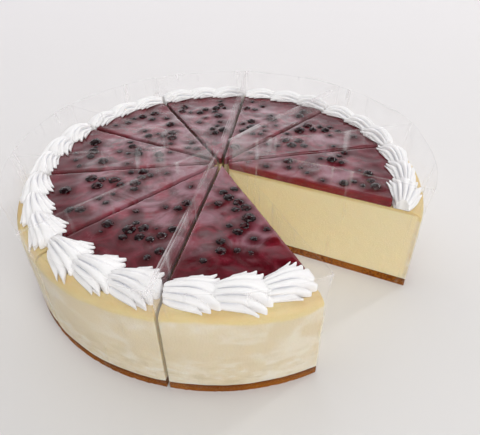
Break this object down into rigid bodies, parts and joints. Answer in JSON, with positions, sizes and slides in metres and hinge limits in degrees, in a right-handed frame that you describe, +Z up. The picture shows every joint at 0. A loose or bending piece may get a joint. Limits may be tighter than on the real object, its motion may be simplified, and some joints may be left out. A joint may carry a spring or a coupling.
{
  "type": "cheesecake",
  "caption": "Round baked cheesecake with a glossy berry glaze and a piped cream border, cut into film-wrapped slices with one slice taken out.",
  "frame": {"origin": "under the centre of the whole round cake, on the surface it stands on", "axes": "+Z up, -Y towards the viewer of the picture, +X to the viewer's right"},
  "size_m": [0.2454, 0.2462, 0.0707],
  "materials": {
    "biscuit": "dry, crumbly baked biscuit",
    "baked_cheese": "pale baked cheese, satin, yellow skin at the rim",
    "berry_glaze": "glossy dark wine-red set glaze with dark berries",
    "whipped_cream": "soft white whipped cream",
    "clear_film": "thin clear glossy acetate film"
  },
  "bodies": {
    "root": {"slice_01_base": "biscuit", "slice_01_filling": "baked_cheese", "slice_01_topping": "berry_glaze", "slice_01_cream": "whipped_cream", "slice_01_film": "clear_film", "slice_02_base": "biscuit", "slice_02_filling": "baked_cheese", "slice_02_topping": "berry_glaze", "slice_02_cream": "whipped_cream", "slice_02_film": "clear_film", "slice_03_base": "biscuit", "slice_03_filling": "baked_cheese", "slice_03_topping": "berry_glaze", "slice_03_cream": "whipped_cream", "slice_03_film": "clear_film", "slice_04_base": "biscuit", "slice_04_filling": "baked_cheese", "slice_04_topping": "berry_glaze", "slice_04_cream": "whipped_cream", "slice_04_film": "clear_film", "slice_05_base": "biscuit", "slice_05_filling": "baked_cheese", "slice_05_topping": "berry_glaze", "slice_05_cream": "whipped_cream", "slice_05_film": "clear_film", "slice_06_base": "biscuit", "slice_06_filling": "baked_cheese", "slice_06_topping": "berry_glaze", "slice_06_cream": "whipped_cream", "slice_06_film": "clear_film", "slice_07_base": "biscuit", "slice_07_filling": "baked_cheese", "slice_07_topping": "berry_glaze", "slice_07_cream": "whipped_cream", "slice_07_film": "clear_film", "slice_08_base": "biscuit", "slice_08_filling": "baked_cheese", "slice_08_topping": "berry_glaze", "slice_08_cream": "whipped_cream", "slice_08_film": "clear_film", "slice_09_base": "biscuit", "slice_09_filling": "baked_cheese", "slice_09_topping": "berry_glaze", "slice_09_cream": "whipped_cream", "slice_09_film": "clear_film"}
  },
  "joints": []
}
